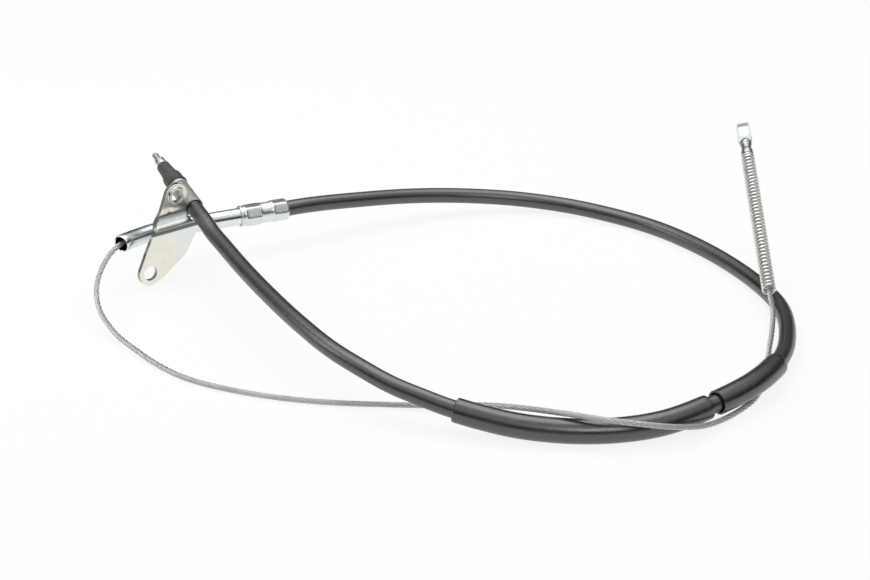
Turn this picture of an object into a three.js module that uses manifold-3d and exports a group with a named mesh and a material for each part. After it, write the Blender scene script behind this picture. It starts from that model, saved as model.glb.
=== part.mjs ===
// Parking brake cable, in millimetres, +Z up, lying on the surface z = 0.
// One wire rope runs from the wheel-end pin through the curved conduit, a crimped
// hexagon ferrule and a steel guide tube, then lies free up to a return spring and an eye.
import * as THREE from "three";
import { mergeVertices } from "three/addons/utils/BufferGeometryUtils.js";
import Module from "manifold-3d";

const wasm = await Module();
wasm.setup();

// Driving dimensions of the cable and its casing
const ropeOD = 3.6;
const linerWall = 0.5;
const linerClearance = 0.5;
const armourWall = 0.8;
const armourClearance = 0.55;
const jacketOD = 10.8;
const jacketWall = 0.75;
const conduitLength = 1090;
const turnedClearance = 0.3;

// Driving dimensions of the wheel end
const pinDepth = 64;
const bodyOD = 12.8;
const bodyLength = 30;
const bodyGrip = 14;
const bodyNoseOD = 9.4;
const bodyNoseLength = 8;
const ringGrooveWidth = 2.0;
const ringGrooveDepth = 1.1;
const ringGrooveFromEnd = 1.9;
const snapRingWire = 1.4;
const snapRingOD = 13.8;
const snapRingGapAngle = 0.5;
const bootLength = 28;
const bootWall = 1.1;
const bootBaseOD = 14.6;
const bootBellyOD = 13.4;
const bootNeckOD = 8.4;
const bootStepAt = 14.4;
const bootNeckAt = 17.2;
const shankOD = 5.8;
const shankLength = 12;
const collarOD = 7.2;
const collarLength = 8;
const tipOD = 4.4;
const tipLength = 8.8;

// Driving dimensions of the pressed bracket
const plateThickness = 3;
const plateYaw = THREE.MathUtils.degToRad(38);
const earRadius = 8.2;
const earHoleRadius = 4.3;
const earCollarWall = 1.5;
const earCollarHeight = 1.8;
const endRadius = 8.4;
const endHoleRadius = 5;
const joggleOffset = 5;
const joggleCrest = 1.4;
const dimpleRadius = 1.4;
const dimpleDepth = 0.7;
const sheetWidth = 70;
const sheetLeft = 58;
const sheetTop = 24;
const sheetBottom = 50;
const blankDepth = 40;

// Driving dimensions of the ferrule, the guide tube and the sleeves
const ferruleLength = 35;
const ferruleGrip = 24;
const ferruleRound = 15.4;
const hexAcrossFlats = 14;
const bandOD = 14.2;
const rimOD = 14.8;
const rimWidth = 2.2;
const neckOD = 13.6;
const neckWidth = 1.8;
const hexOneLength = 11;
const bandLength = 9;
const webThickness = 1.5;
const tubeOD = 12;
const tubeWall = 1;
const tubeLength = 106.5;
const longSleeveStart = 360;
const longSleeveLength = 161;
const sleeveGap = 7;
const shortSleeveLength = 72;
const sleeveOD = 15;
const longSleeveWall = 1.65;
const shortSleeveWall = 1.3;

// Driving dimensions of the return spring and the eye
const springWire = 1.5;
const springOD = 9.5;
const springCoils = 41;
const springLength = 134;
const ropeInEye = 14;
const eyeShankOD = 8.6;
const eyeShankLength = 11;
const eyeShankWaist = 7.2;
const eyeTaper = 4;
const eyeWidth = 11;
const eyeLength = 19;
const eyeThickness = 3;
const eyeFrame = 1.8;
const eyeCorner = 2.2;
const eyeRoll = THREE.MathUtils.degToRad(-14);

// Shift that puts the middle of the whole cable's box over the origin
const standX = -0.563;
const standY = 1.559;
const standZ = -0.03;

// Smoothness of the tubes
const roundSides = 12;
const slimSides = 8;
const stepLength = 26;

// Where the two ends lie: the mouth of the wheel-end body with its axis,
// and the free end of the spring with its axis
const bodyMouth = new THREE.Vector3(-165.7, 72.6, 44.5);
const wheelAxis = new THREE.Vector3(-0.4543, 0.8761, 0.1616).normalize();
const springFoot = new THREE.Vector3(212.5, 6.4, 17);
const springAxis = new THREE.Vector3(0.0032, 0.9455, 0.3256).normalize();

function along(origin, axis, distance) {
  return origin.clone().addScaledVector(axis, distance);
}

// The route of the rope's centre line, from the pin to the eye
const conduitPoints = [
  [-150.9, 43.9, 38.4], [-143, 29.2, 36.3], [-125.9, -4.3, 33.2], [-106, -41.6, 31],
  [-86.5, -75.3, 29.3], [-66.3, -104.8, 27], [-47.1, -125.1, 24.3], [-29.2, -139.8, 21],
  [-11.6, -148.8, 17.5], [4.7, -155.6, 14.2], [23.2, -161.6, 11.2], [44.9, -167.4, 8.8],
  [73.5, -171.2, 7.6], [102.3, -170.3, 7.8], [128.8, -163.6, 9], [158, -145.5, 10.8],
  [186.3, -120, 12], [207.5, -84.3, 10.6], [217.2, -47.7, 8.2], [219.9, -7.7, 6.5],
  [213.6, 24.5, 5.7], [198.1, 62.6, 5.4], [177.6, 96.8, 5.4], [152.9, 126.7, 5.4],
  [126.8, 147.8, 5.6], [93.2, 165.4, 6.6], [57.5, 173.2, 8.8], [28.5, 171.9, 11.6],
  [-0.4, 165.9, 14.8], [-29, 155.6, 18.2], [-57, 141.8, 21.6], [-82, 128.4, 24.5],
];
const guideTubeLine = [
  [-97, 119.8, 25.9], [-106, 115.4, 26], [-122, 107.5, 26.2], [-138, 99.7, 26.5],
  [-154, 91.8, 26.8], [-170, 83.9, 27.1],
];
const guideTubeBend = [[-180.5, 78.2, 27.5], [-190.5, 71, 28.2], [-202, 58, 29.4], [-212.2, 41.3, 31]];
const freeRopePoints = [
  [-217.2, 33.6, 28.6], [-221.5, 23.5, 23.6], [-223.8, 11.5, 17.8], [-222.8, -1, 12.4],
  [-219, -14, 8.8], [-211.5, -29.5, 6.2], [-203, -43.2, 4.4], [-189.5, -59.7, 2.9],
  [-176.8, -74.6, 2.1], [-159.5, -91.4, 1.9], [-143.2, -102, 1.9], [-118.1, -113, 1.9],
  [-90.6, -121.3, 1.9], [-60.5, -126.4, 1.9], [-33.7, -128.4, 2], [-7, -131.6, 3],
  [16.6, -139.4, 7.5], [33.9, -149, 12], [53.8, -159.8, 15.5], [73.3, -169.9, 17.8],
  [92.8, -177.4, 18.3], [112.6, -179.6, 16.8], [133.2, -175.5, 12.6], [152.1, -162.9, 6.6],
  [172.5, -140.8, 2.6], [188.7, -117.7, 2], [198.1, -89, 3.4], [203.4, -64.3, 6],
  [208.2, -42.6, 9.2], [211.4, -23, 12.4],
];
const wheelEndLine = [pinDepth, 50, 36, 22, 8, -6, -20].map((s) => along(bodyMouth, wheelAxis, s));
const springLine = [-8, 10, 45, 80, 115, springLength, springLength + ropeInEye].map((s) => along(springFoot, springAxis, s));
const handPoints = [...conduitPoints, ...guideTubeLine, ...guideTubeBend, ...freeRopePoints];
const cableRoute = new THREE.CatmullRomCurve3([
  ...wheelEndLine,
  ...handPoints.map((p) => new THREE.Vector3(...p)),
  ...springLine,
]);
cableRoute.arcLengthDivisions = 3000;
const ropeLength = cableRoute.getLength();

// Distances along the route at which pieces start and end
const conduitStart = pinDepth - bodyGrip;
const conduitEnd = conduitStart + conduitLength;
const ferruleMouth = conduitEnd - ferruleGrip;
const ferruleEnd = ferruleMouth + ferruleLength;
const tubeStart = conduitEnd + webThickness + turnedClearance;
const tubeEnd = tubeStart + tubeLength;
const longSleeveEnd = longSleeveStart + longSleeveLength;
const shortSleeveStart = longSleeveEnd + sleeveGap;
const shortSleeveEnd = shortSleeveStart + shortSleeveLength;
const bodyStart = pinDepth;
const springStart = ropeLength - springLength - ropeInEye;

// Stations shared by every tube, so that nested tubes bend at the same places
const stops = [
  0, conduitStart, bodyStart, longSleeveStart, longSleeveEnd, shortSleeveStart, shortSleeveEnd,
  ferruleMouth, conduitEnd, tubeStart, ferruleEnd, tubeEnd, springStart, ropeLength,
];
const stations = [];
for (let i = 0; i < stops.length - 1; i += 1) {
  const steps = Math.max(1, Math.round((stops[i + 1] - stops[i]) / stepLength));
  for (let k = 0; k < steps; k += 1) {
    stations.push(THREE.MathUtils.lerp(stops[i], stops[i + 1], k / steps));
  }
}
stations.push(ropeLength);

// A stretch of the route, sampled at the shared stations between two distances
class Stretch extends THREE.Curve {
  constructor(from, to) {
    super();
    const inside = stations.filter((s) => s > from + 0.01 && s < to - 0.01);
    this.marks = [from, ...inside, to];
  }

  get steps() {
    return this.marks.length - 1;
  }

  fractionAt(u) {
    const place = Math.min(u, 1) * this.steps;
    const index = Math.min(Math.floor(place), this.steps - 1);
    return THREE.MathUtils.lerp(this.marks[index], this.marks[index + 1], place - index) / ropeLength;
  }

  getPointAt(u, target = new THREE.Vector3()) {
    return cableRoute.getPointAt(Math.min(this.fractionAt(u), 1), target);
  }

  getTangentAt(u, target = new THREE.Vector3()) {
    return cableRoute.getTangentAt(Math.min(this.fractionAt(u), 1), target);
  }
}

function circlePoints(radius, sides) {
  return Array.from({ length: sides }, (_, i) => {
    const angle = (2 * Math.PI * i) / sides;
    return new THREE.Vector2(radius * Math.cos(angle), radius * Math.sin(angle));
  });
}

function sectionShape(outerRadius, innerRadius, sides) {
  const shape = new THREE.Shape(circlePoints(outerRadius, sides));
  if (innerRadius > 0) {
    shape.holes.push(new THREE.Path(circlePoints(innerRadius, sides)));
  }
  return shape;
}

function tubeOnRoute(from, to, outerRadius, innerRadius, sides) {
  const path = new Stretch(from, to);
  const shape = sectionShape(outerRadius, innerRadius, sides);
  return new THREE.ExtrudeGeometry(shape, { steps: path.steps, bevelEnabled: false, extrudePath: path });
}

// Joins equal corners and drops the faces that have no area
function welded(geometry) {
  const bare = geometry.clone();
  bare.deleteAttribute("normal");
  bare.deleteAttribute("uv");
  const merged = mergeVertices(bare, 1e-4);
  const corners = merged.index.array;
  const kept = [];
  for (let i = 0; i < corners.length; i += 3) {
    const [a, b, c] = [corners[i], corners[i + 1], corners[i + 2]];
    if (a !== b && b !== c && c !== a) {
      kept.push(a, b, c);
    }
  }
  merged.setIndex(kept);
  merged.computeVertexNormals();
  return merged;
}

// A ring or rod turned about Z, from a closed outline of [radius, z] pairs
function turned(outline, segments = 20) {
  const points = outline.map(([r, z]) => new THREE.Vector2(r, z));
  points.push(points[0].clone());
  return welded(new THREE.LatheGeometry(points, segments)).rotateX(Math.PI / 2);
}

function toSolid(geometry) {
  const merged = welded(geometry);
  const solid = new wasm.Manifold(new wasm.Mesh({
    numProp: 3,
    vertProperties: new Float32Array(merged.attributes.position.array),
    triVerts: new Uint32Array(merged.index.array),
  }));
  return solid;
}

function toGeometry(solid) {
  const result = solid.getMesh();
  const geometry = new THREE.BufferGeometry();
  geometry.setAttribute("position", new THREE.BufferAttribute(new Float32Array(result.vertProperties), 3));
  geometry.setIndex(new THREE.BufferAttribute(new Uint32Array(result.triVerts), 1));
  geometry.computeVertexNormals();
  return geometry;
}

function frameAt(origin, xAxis, yAxis, zAxis) {
  return new THREE.Matrix4().makeBasis(xAxis, yAxis, zAxis).setPosition(origin);
}

// A frame with Z along an axis and X level, rolled about the axis
function axisFrame(origin, axis, roll = 0) {
  const level = new THREE.Vector3(0, 0, 1).cross(axis).normalize().negate();
  const side = level.applyAxisAngle(axis, roll);
  const up = axis.clone().cross(side);
  return frameAt(origin, side, up, axis);
}

const looks = {
  jacket: { color: 0x1c1c1b, roughness: 0.42, metalness: 0 },
  armour: { color: 0x8f9394, roughness: 0.4, metalness: 1 },
  liner: { color: 0xe8e6dd, roughness: 0.5, metalness: 0 },
  rope: { color: 0x8d918f, roughness: 0.42, metalness: 1 },
  body: { color: 0x6c6e6b, roughness: 0.55, metalness: 0.8 },
  zinc: { color: 0xb9c0bd, roughness: 0.25, metalness: 1 },
  yellowZinc: { color: 0xc9c7ae, roughness: 0.28, metalness: 1 },
  rubber: { color: 0x3b3837, roughness: 0.7, metalness: 0 },
  sleeve: { color: 0x20201f, roughness: 0.35, metalness: 0 },
  spring: { color: 0xb4b8ad, roughness: 0.3, metalness: 1 },
};

const cable = new THREE.Group();

function addPiece(name, geometry, look, matrix) {
  const mesh = new THREE.Mesh(geometry, new THREE.MeshStandardMaterial(look));
  mesh.name = name;
  if (matrix) {
    mesh.applyMatrix4(matrix);
  }
  mesh.position.add(new THREE.Vector3(standX, standY, standZ));
  cable.add(mesh);
}

// Radii that follow from the driving dimensions, from the rope outwards
const ropeRadius = ropeOD / 2;
const linerBore = ropeRadius + linerClearance;
const linerRadius = linerBore + linerWall;
const armourBore = linerRadius + 0.6;
const armourRadius = armourBore + armourWall;
const jacketRadius = jacketOD / 2;
const jacketBore = jacketRadius - jacketWall;
const sleeveRadius = sleeveOD / 2;
const casingBore = jacketRadius + turnedClearance;
const ropeBore = ropeRadius + 0.35;

function addCable() {
  addPiece("inner_cable", tubeOnRoute(0, ropeLength, ropeRadius, 0, slimSides), looks.rope);
}

function addConduit() {
  const layers = [
    ["conduit_jacket", jacketRadius, jacketBore, roundSides, looks.jacket],
    ["conduit_armour", armourRadius, armourBore, slimSides, looks.armour],
    ["conduit_liner", linerRadius, linerBore, slimSides, looks.liner],
  ];
  for (const [name, outer, inner, sides, look] of layers) {
    addPiece(name, tubeOnRoute(conduitStart, conduitEnd, outer, inner, sides), look);
  }
}

function addSleeves() {
  const longBore = sleeveRadius - longSleeveWall;
  const shortBore = sleeveRadius - shortSleeveWall;
  addPiece("long_sleeve",
    tubeOnRoute(longSleeveStart, longSleeveEnd, sleeveRadius, longBore, roundSides), looks.sleeve);
  addPiece("short_sleeve",
    tubeOnRoute(shortSleeveStart, shortSleeveEnd, sleeveRadius, shortBore, roundSides), looks.sleeve);
}

// Turned body crimped on the conduit, with a nose for the boot and a groove for the snap ring
function addWheelEndBody() {
  const outer = bodyOD / 2;
  const grooveEnd = bodyLength - ringGrooveFromEnd;
  const grooveStart = grooveEnd - ringGrooveWidth;
  const nose = bodyNoseOD / 2;
  const noseEnd = bodyLength + bodyNoseLength;
  const outline = [
    [casingBore, 0], [outer - 0.5, 0], [outer, 0.5],
    [outer, grooveStart], [outer - ringGrooveDepth, grooveStart],
    [outer - ringGrooveDepth, grooveEnd], [outer, grooveEnd],
    [outer, bodyLength], [nose, bodyLength], [nose, noseEnd - 0.6], [nose - 0.6, noseEnd],
    [shankOD / 2 + 0.4, noseEnd], [shankOD / 2 + 0.4, bodyGrip + 2], [linerRadius + turnedClearance, bodyGrip + 2],
    [linerRadius + turnedClearance, bodyGrip + turnedClearance], [casingBore, bodyGrip + turnedClearance],
  ];
  addPiece("wheel_end_body", turned(outline), looks.body, axisFrame(bodyMouth, wheelAxis));

  const ringInner = outer - ringGrooveDepth + turnedClearance;
  const ring = new THREE.Shape();
  ring.absarc(0, 0, snapRingOD / 2, snapRingGapAngle, 2 * Math.PI - snapRingGapAngle, false);
  ring.absarc(0, 0, ringInner, 2 * Math.PI - snapRingGapAngle, snapRingGapAngle, true);
  const ringGeometry = new THREE.ExtrudeGeometry(ring, {
    depth: snapRingWire, bevelEnabled: false, curveSegments: 22,
  });
  ringGeometry.translate(0, 0, grooveStart + (ringGrooveWidth - snapRingWire) / 2);
  addPiece("snap_ring", ringGeometry, looks.zinc, axisFrame(bodyMouth, wheelAxis));
}

// Rubber boot over the nose, stepped down to the pin's shank
function addBoot() {
  const start = bodyLength + turnedClearance;
  const inner = bodyNoseOD / 2 + turnedClearance;
  const neckBore = shankOD / 2 + turnedClearance;
  const base = bootBaseOD / 2;
  const belly = bootBellyOD / 2;
  const neck = bootNeckOD / 2;
  const outline = [
    [inner, start], [base - 0.5, start], [base, start + 0.6], [base, start + 2], [base - 0.9, start + 2.6],
    [belly, start + 4], [belly, start + 9.5], [belly - 1.1, start + bootStepAt - 1.4],
    [belly - 1.6, start + bootStepAt], [neck + 0.6, start + bootNeckAt - 1], [neck, start + bootNeckAt],
    [neck, start + bootLength - 1.4], [neck - 0.5, start + bootLength],
    [neckBore, start + bootLength], [neckBore, start + bootNeckAt], [inner, start + bootStepAt - 3],
  ];
  addPiece("rubber_boot", turned(outline), looks.rubber, axisFrame(bodyMouth, wheelAxis));
}

// Pin swaged on the rope's end: shank in the boot, collar and round tip in front of it
function addPin() {
  const collarStart = bodyLength + turnedClearance + bootLength + turnedClearance;
  const shankStart = collarStart - shankLength;
  const collarEnd = collarStart + collarLength;
  const tipEnd = collarEnd + tipLength;
  const collar = collarOD / 2;
  const tip = tipOD / 2;
  const outline = [
    [ropeBore, shankStart], [shankOD / 2, shankStart], [shankOD / 2, collarStart],
    [collar - 0.4, collarStart], [collar, collarStart + 0.4], [collar, collarEnd - 1], [collar - 1, collarEnd],
    [tip, collarEnd + 0.6], [tip, tipEnd - 1.2], [tip - 0.5, tipEnd - 0.4], [tip - 1.2, tipEnd],
    [0, tipEnd], [0, pinDepth + turnedClearance], [ropeBore, pinDepth + turnedClearance],
  ];
  addPiece("wheel_end_pin", turned(outline, 20), looks.zinc, axisFrame(bodyMouth, wheelAxis));
}

// Places on the bracket, in its own frame: X across, Y up, Z towards its front
const earCentre = new THREE.Vector2(-13.6, 12);
const endCentre = new THREE.Vector2(-39.4, -36);
const edgeCorner = new THREE.Vector2(-10.6, -28.8);
const shoulderCorner = new THREE.Vector2(2, -11.4);
const lipCorner = new THREE.Vector2(4.5, -7.4);
const notchCorner = new THREE.Vector2(1, -4);
const waistCorner = new THREE.Vector2(-7.4, 0.5);
const earCorner = new THREE.Vector2(-6.5, 6);
const leftWaist = new THREE.Vector2(-27, 0.8);
const leftShoulder = new THREE.Vector2(-33.6, -5.7);
const dimpleCentre = new THREE.Vector2(-19, 2.2);

// Side of the pressed sheet: ear, dip, crest of the joggle and lower plate, as [height, front]
const pressedFront = [
  [sheetTop, 0], [12, 0], [5, 0], [1, -0.4], [-2.6, 0.6], [-6, 3.8], [-8.8, joggleOffset + joggleCrest],
  [-12, joggleOffset + 0.6 * joggleCrest], [-16, joggleOffset], [-24, joggleOffset], [-sheetBottom, joggleOffset],
];
const pressedBack = [
  [sheetTop, -plateThickness], [12, -plateThickness], [4, -plateThickness - 0.1], [0, -plateThickness - 0.2],
  [-4, -plateThickness + 0.9], [-8, 0.9], [-12, joggleOffset - plateThickness + 0.3],
  [-16, joggleOffset - plateThickness], [-24, joggleOffset - plateThickness],
  [-sheetBottom, joggleOffset - plateThickness],
];

function splinePoints(pairs, perSpan) {
  const curve = new THREE.SplineCurve(pairs.map(([a, b]) => new THREE.Vector2(a, b)));
  return curve.getPoints(perSpan * (pairs.length - 1));
}

function pressedSide() {
  return new THREE.Shape([...splinePoints(pressedFront, 3), ...splinePoints(pressedBack, 3).reverse()]);
}

// Round end of an outline: the arc about a centre between two directions, as points
function arcPoints(centre, radius, from, to, count) {
  return Array.from({ length: count + 1 }, (_, i) => {
    const angle = THREE.MathUtils.lerp(from, to, i / count);
    return new THREE.Vector2(centre.x + radius * Math.cos(angle), centre.y + radius * Math.sin(angle));
  });
}

function rod(radius, from, to, segments = 24) {
  return turned([[0, from], [radius, from], [radius, to], [0, to]], segments);
}

function addBracket() {
  const normal = new THREE.Vector3(Math.sin(plateYaw), -Math.cos(plateYaw), 0);
  const up = new THREE.Vector3(0, 0, 1);
  const across = up.clone().cross(normal);
  const plateFrame = frameAt(bodyMouth, across, up, normal);

  const sideFrame = new THREE.Matrix4().makeBasis(
    new THREE.Vector3(0, 1, 0), new THREE.Vector3(0, 0, 1), new THREE.Vector3(1, 0, 0));
  const sheetGeometry = new THREE.ExtrudeGeometry(pressedSide(), { depth: sheetWidth, bevelEnabled: false });
  sheetGeometry.applyMatrix4(sideFrame).translate(-sheetLeft, 0, 0);

  const leftEdge = endCentre.clone().sub(earCentre).angle() - Math.PI / 2;
  const outline = [
    ...arcPoints(earCentre, earRadius, 0, leftEdge, 14), leftWaist, leftShoulder,
    ...arcPoints(endCentre, endRadius, leftEdge, 1.66 * Math.PI, 12),
    edgeCorner, shoulderCorner, lipCorner, notchCorner, waistCorner, earCorner,
  ];
  const blankGeometry = new THREE.ExtrudeGeometry(new THREE.Shape(outline), {
    depth: blankDepth, bevelEnabled: false,
  });
  blankGeometry.translate(0, 0, -blankDepth / 2);

  const collarRadius = earHoleRadius + earCollarWall;
  const earCollar = rod(collarRadius, -plateThickness / 2, earCollarHeight).translate(earCentre.x, earCentre.y, 0);
  const earHole = rod(earHoleRadius, -blankDepth / 2, blankDepth / 2).translate(earCentre.x, earCentre.y, 0);
  const endHole = rod(endHoleRadius, -blankDepth / 2, blankDepth / 2).translate(endCentre.x, endCentre.y, 0);
  const dimple = new THREE.SphereGeometry(dimpleRadius, 10, 6)
    .translate(dimpleCentre.x, dimpleCentre.y, dimpleRadius - dimpleDepth);
  const seat = rod(bodyOD / 2 + turnedClearance, -blankDepth, blankDepth, 32)
    .applyMatrix4(axisFrame(bodyMouth, wheelAxis))
    .applyMatrix4(plateFrame.clone().invert());

  const plate = toSolid(sheetGeometry)
    .intersect(toSolid(blankGeometry))
    .add(toSolid(earCollar))
    .subtract(toSolid(earHole))
    .subtract(toSolid(endHole))
    .subtract(toSolid(dimple))
    .subtract(toSolid(seat));
  addPiece("bracket_plate", toGeometry(plate), looks.yellowZinc, plateFrame);
}

// Crimped ferrule: rim, neck, hexagon, round band and second hexagon, from the tube's side
function addFerrule() {
  const hexRadius = hexAcrossFlats / Math.sqrt(3);
  const hexOneStart = rimWidth + neckWidth;
  const bandStart = hexOneStart + hexOneLength;
  const hexTwoStart = bandStart + bandLength;
  const blankOutline = [
    [0, 0], [rimOD / 2 - 0.4, 0], [rimOD / 2, 0.4], [rimOD / 2, rimWidth], [neckOD / 2, rimWidth + 0.4],
    [neckOD / 2, hexOneStart - 0.4], [ferruleRound / 2, hexOneStart], [ferruleRound / 2, bandStart],
    [bandOD / 2, bandStart + 0.8], [bandOD / 2, hexTwoStart - 0.8], [ferruleRound / 2, hexTwoStart],
    [ferruleRound / 2, ferruleLength - 0.9], [ferruleRound / 2 - 1.2, ferruleLength], [0, ferruleLength],
  ];
  const hexagon = new THREE.Shape(circlePoints(hexRadius, 6));
  const hexOne = new THREE.ExtrudeGeometry(hexagon, { depth: hexOneLength, bevelEnabled: false })
    .translate(0, 0, hexOneStart);
  const hexTwo = new THREE.ExtrudeGeometry(hexagon, { depth: ferruleLength, bevelEnabled: false })
    .translate(0, 0, hexTwoStart);
  const rest = turned([
    [0, -1], [10, -1], [10, hexOneStart], [0, hexOneStart],
  ]);
  const bandZone = turned([
    [0, bandStart], [10, bandStart], [10, hexTwoStart], [0, hexTwoStart],
  ]);
  const keep = toSolid(hexOne).add(toSolid(hexTwo)).add(toSolid(rest)).add(toSolid(bandZone));

  const gripStart = ferruleLength - ferruleGrip;
  const bores = turned([
    [0, -1], [tubeOD / 2 + turnedClearance, -1], [tubeOD / 2 + turnedClearance, gripStart - webThickness],
    [linerRadius, gripStart - webThickness], [linerRadius, gripStart - turnedClearance],
    [casingBore, gripStart - turnedClearance], [casingBore, ferruleLength + 1], [0, ferruleLength + 1],
  ]);
  const ferrule = toSolid(turned(blankOutline)).intersect(keep).subtract(toSolid(bores));
  const mouth = cableRoute.getPointAt(ferruleEnd / ropeLength);
  const axis = cableRoute.getTangentAt(((ferruleMouth + ferruleEnd) / 2) / ropeLength).negate();
  addPiece("hex_ferrule", toGeometry(ferrule), looks.zinc, axisFrame(mouth, axis));
}

function addGuideTube() {
  const outer = tubeOD / 2;
  addPiece("guide_tube", tubeOnRoute(tubeStart, tubeEnd, outer, outer - tubeWall, 16), looks.zinc);
}

// Wire of the return spring, with one closed turn at each end
class SpringWire extends THREE.Curve {
  getPoint(t, target = new THREE.Vector3()) {
    const turn = t * springCoils;
    const mean = (springOD - springWire) / 2;
    const closed = springWire * 1.05;
    const openTurns = springCoils - 2;
    const pitch = (springLength - springWire - 2 * closed) / openTurns;
    const height = closed * Math.min(turn, 1)
      + pitch * THREE.MathUtils.clamp(turn - 1, 0, openTurns)
      + closed * Math.max(turn - 1 - openTurns, 0);
    const angle = 2 * Math.PI * turn;
    return target.set(mean * Math.cos(angle), mean * Math.sin(angle), height + springWire / 2);
  }
}

function addSpring() {
  const shape = new THREE.Shape(circlePoints(springWire / 2, 5));
  const geometry = new THREE.ExtrudeGeometry(shape, {
    steps: springCoils * 9, bevelEnabled: false, extrudePath: new SpringWire(),
  });
  addPiece("return_spring", geometry, looks.spring, axisFrame(springFoot, springAxis));
}

// Eye swaged on the rope's end: a waisted shank that widens into a flat eye with a window
function addEye() {
  const shankStart = springLength + turnedClearance;
  const shankEnd = shankStart + eyeShankLength;
  const shank = turned([
    [0, shankStart], [eyeShankOD / 2 - 0.5, shankStart], [eyeShankOD / 2, shankStart + 0.5],
    [eyeShankOD / 2, shankStart + 3], [eyeShankWaist / 2, shankStart + 4.4],
    [eyeShankWaist / 2, shankEnd - 3], [eyeShankOD / 2, shankEnd - 1.6], [eyeShankOD / 2, shankEnd],
    [eyeThickness / 2, shankEnd + eyeTaper], [0, shankEnd + eyeTaper],
  ], 20);
  const bore = rod(ropeBore, -1, springLength + ropeInEye + turnedClearance, 16);

  const half = eyeWidth / 2;
  const eyeStart = shankEnd - 0.6;
  const eyeEnd = shankEnd + eyeTaper + eyeLength;
  const windowStart = shankEnd + eyeTaper + eyeFrame;
  const outline = new THREE.Shape();
  outline.moveTo(-eyeShankOD / 2 + 1, eyeStart);
  outline.lineTo(eyeShankOD / 2 - 1, eyeStart);
  outline.lineTo(half, shankEnd + eyeTaper);
  outline.lineTo(half, eyeEnd - eyeCorner);
  outline.absarc(half - eyeCorner, eyeEnd - eyeCorner, eyeCorner, 0, Math.PI / 2, false);
  outline.absarc(eyeCorner - half, eyeEnd - eyeCorner, eyeCorner, Math.PI / 2, Math.PI, false);
  outline.lineTo(-half, shankEnd + eyeTaper);
  outline.closePath();
  const windowHalf = half - eyeFrame;
  const window = new THREE.Path();
  window.moveTo(-windowHalf, eyeEnd - eyeFrame - 1);
  window.lineTo(-windowHalf, windowStart + windowHalf);
  window.absarc(0, windowStart + windowHalf, windowHalf, Math.PI, 2 * Math.PI, false);
  window.lineTo(windowHalf, eyeEnd - eyeFrame - 1);
  window.absarc(windowHalf - 1, eyeEnd - eyeFrame - 1, 1, 0, Math.PI / 2, false);
  window.absarc(1 - windowHalf, eyeEnd - eyeFrame - 1, 1, Math.PI / 2, Math.PI, false);
  outline.holes.push(window);
  const flat = new THREE.ExtrudeGeometry(outline, { depth: eyeThickness, bevelEnabled: false, curveSegments: 8 });
  flat.translate(0, 0, -eyeThickness / 2).rotateX(Math.PI / 2);

  const eye = toSolid(shank).add(toSolid(flat)).subtract(toSolid(bore));
  addPiece("eye_terminal", toGeometry(eye), looks.zinc, axisFrame(springFoot, springAxis, eyeRoll));
}

addCable();
addConduit();
addSleeves();
addWheelEndBody();
addBoot();
addPin();
addBracket();
addFerrule();
addGuideTube();
addSpring();
addEye();

export default cable;
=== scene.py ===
import math

import bpy
from mathutils import Matrix, Vector
from mathutils.geometry import delaunay_2d_cdt


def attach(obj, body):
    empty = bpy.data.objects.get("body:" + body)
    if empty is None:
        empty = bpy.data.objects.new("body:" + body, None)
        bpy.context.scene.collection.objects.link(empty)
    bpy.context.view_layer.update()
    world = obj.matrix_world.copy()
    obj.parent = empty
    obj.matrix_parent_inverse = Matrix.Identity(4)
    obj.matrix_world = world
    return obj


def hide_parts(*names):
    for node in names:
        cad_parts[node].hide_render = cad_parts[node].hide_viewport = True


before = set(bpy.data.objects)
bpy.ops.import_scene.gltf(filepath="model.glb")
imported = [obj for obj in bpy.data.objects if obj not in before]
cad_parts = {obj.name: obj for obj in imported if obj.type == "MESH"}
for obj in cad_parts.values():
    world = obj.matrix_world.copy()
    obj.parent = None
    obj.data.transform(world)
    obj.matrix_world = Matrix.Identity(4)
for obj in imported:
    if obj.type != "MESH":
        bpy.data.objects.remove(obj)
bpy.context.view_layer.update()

bl_info = {
    "name": "Parking brake cable",
    "version": (1, 0, 0),
    "blender": (4, 5, 0),
    "location": "View3D > Sidebar > Brake cable",
    "description": "Dresses the solids of a parking brake cable with its rope, conduit and end fittings",
    "category": "Object",
}

MM = 0.001

# Shift of the whole cable over the origin, and where its two ends lie, in metres
STAND = Vector((-0.000563, 0.001559, -0.00003))
BODY_MOUTH = Vector((-0.1657, 0.0726, 0.0445)) + STAND
WHEEL_AXIS = Vector((-0.4543, 0.8761, 0.1616)).normalized()
SPRING_FOOT = Vector((0.2125, 0.0064, 0.017)) + STAND
SPRING_AXIS = Vector((0.0032, 0.9455, 0.3256)).normalized()
PLATE_YAW = math.radians(38)
EYE_ROLL = math.radians(-14)
SHEET_NORMAL = (math.sin(PLATE_YAW), -math.cos(PLATE_YAW), 0)

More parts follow.
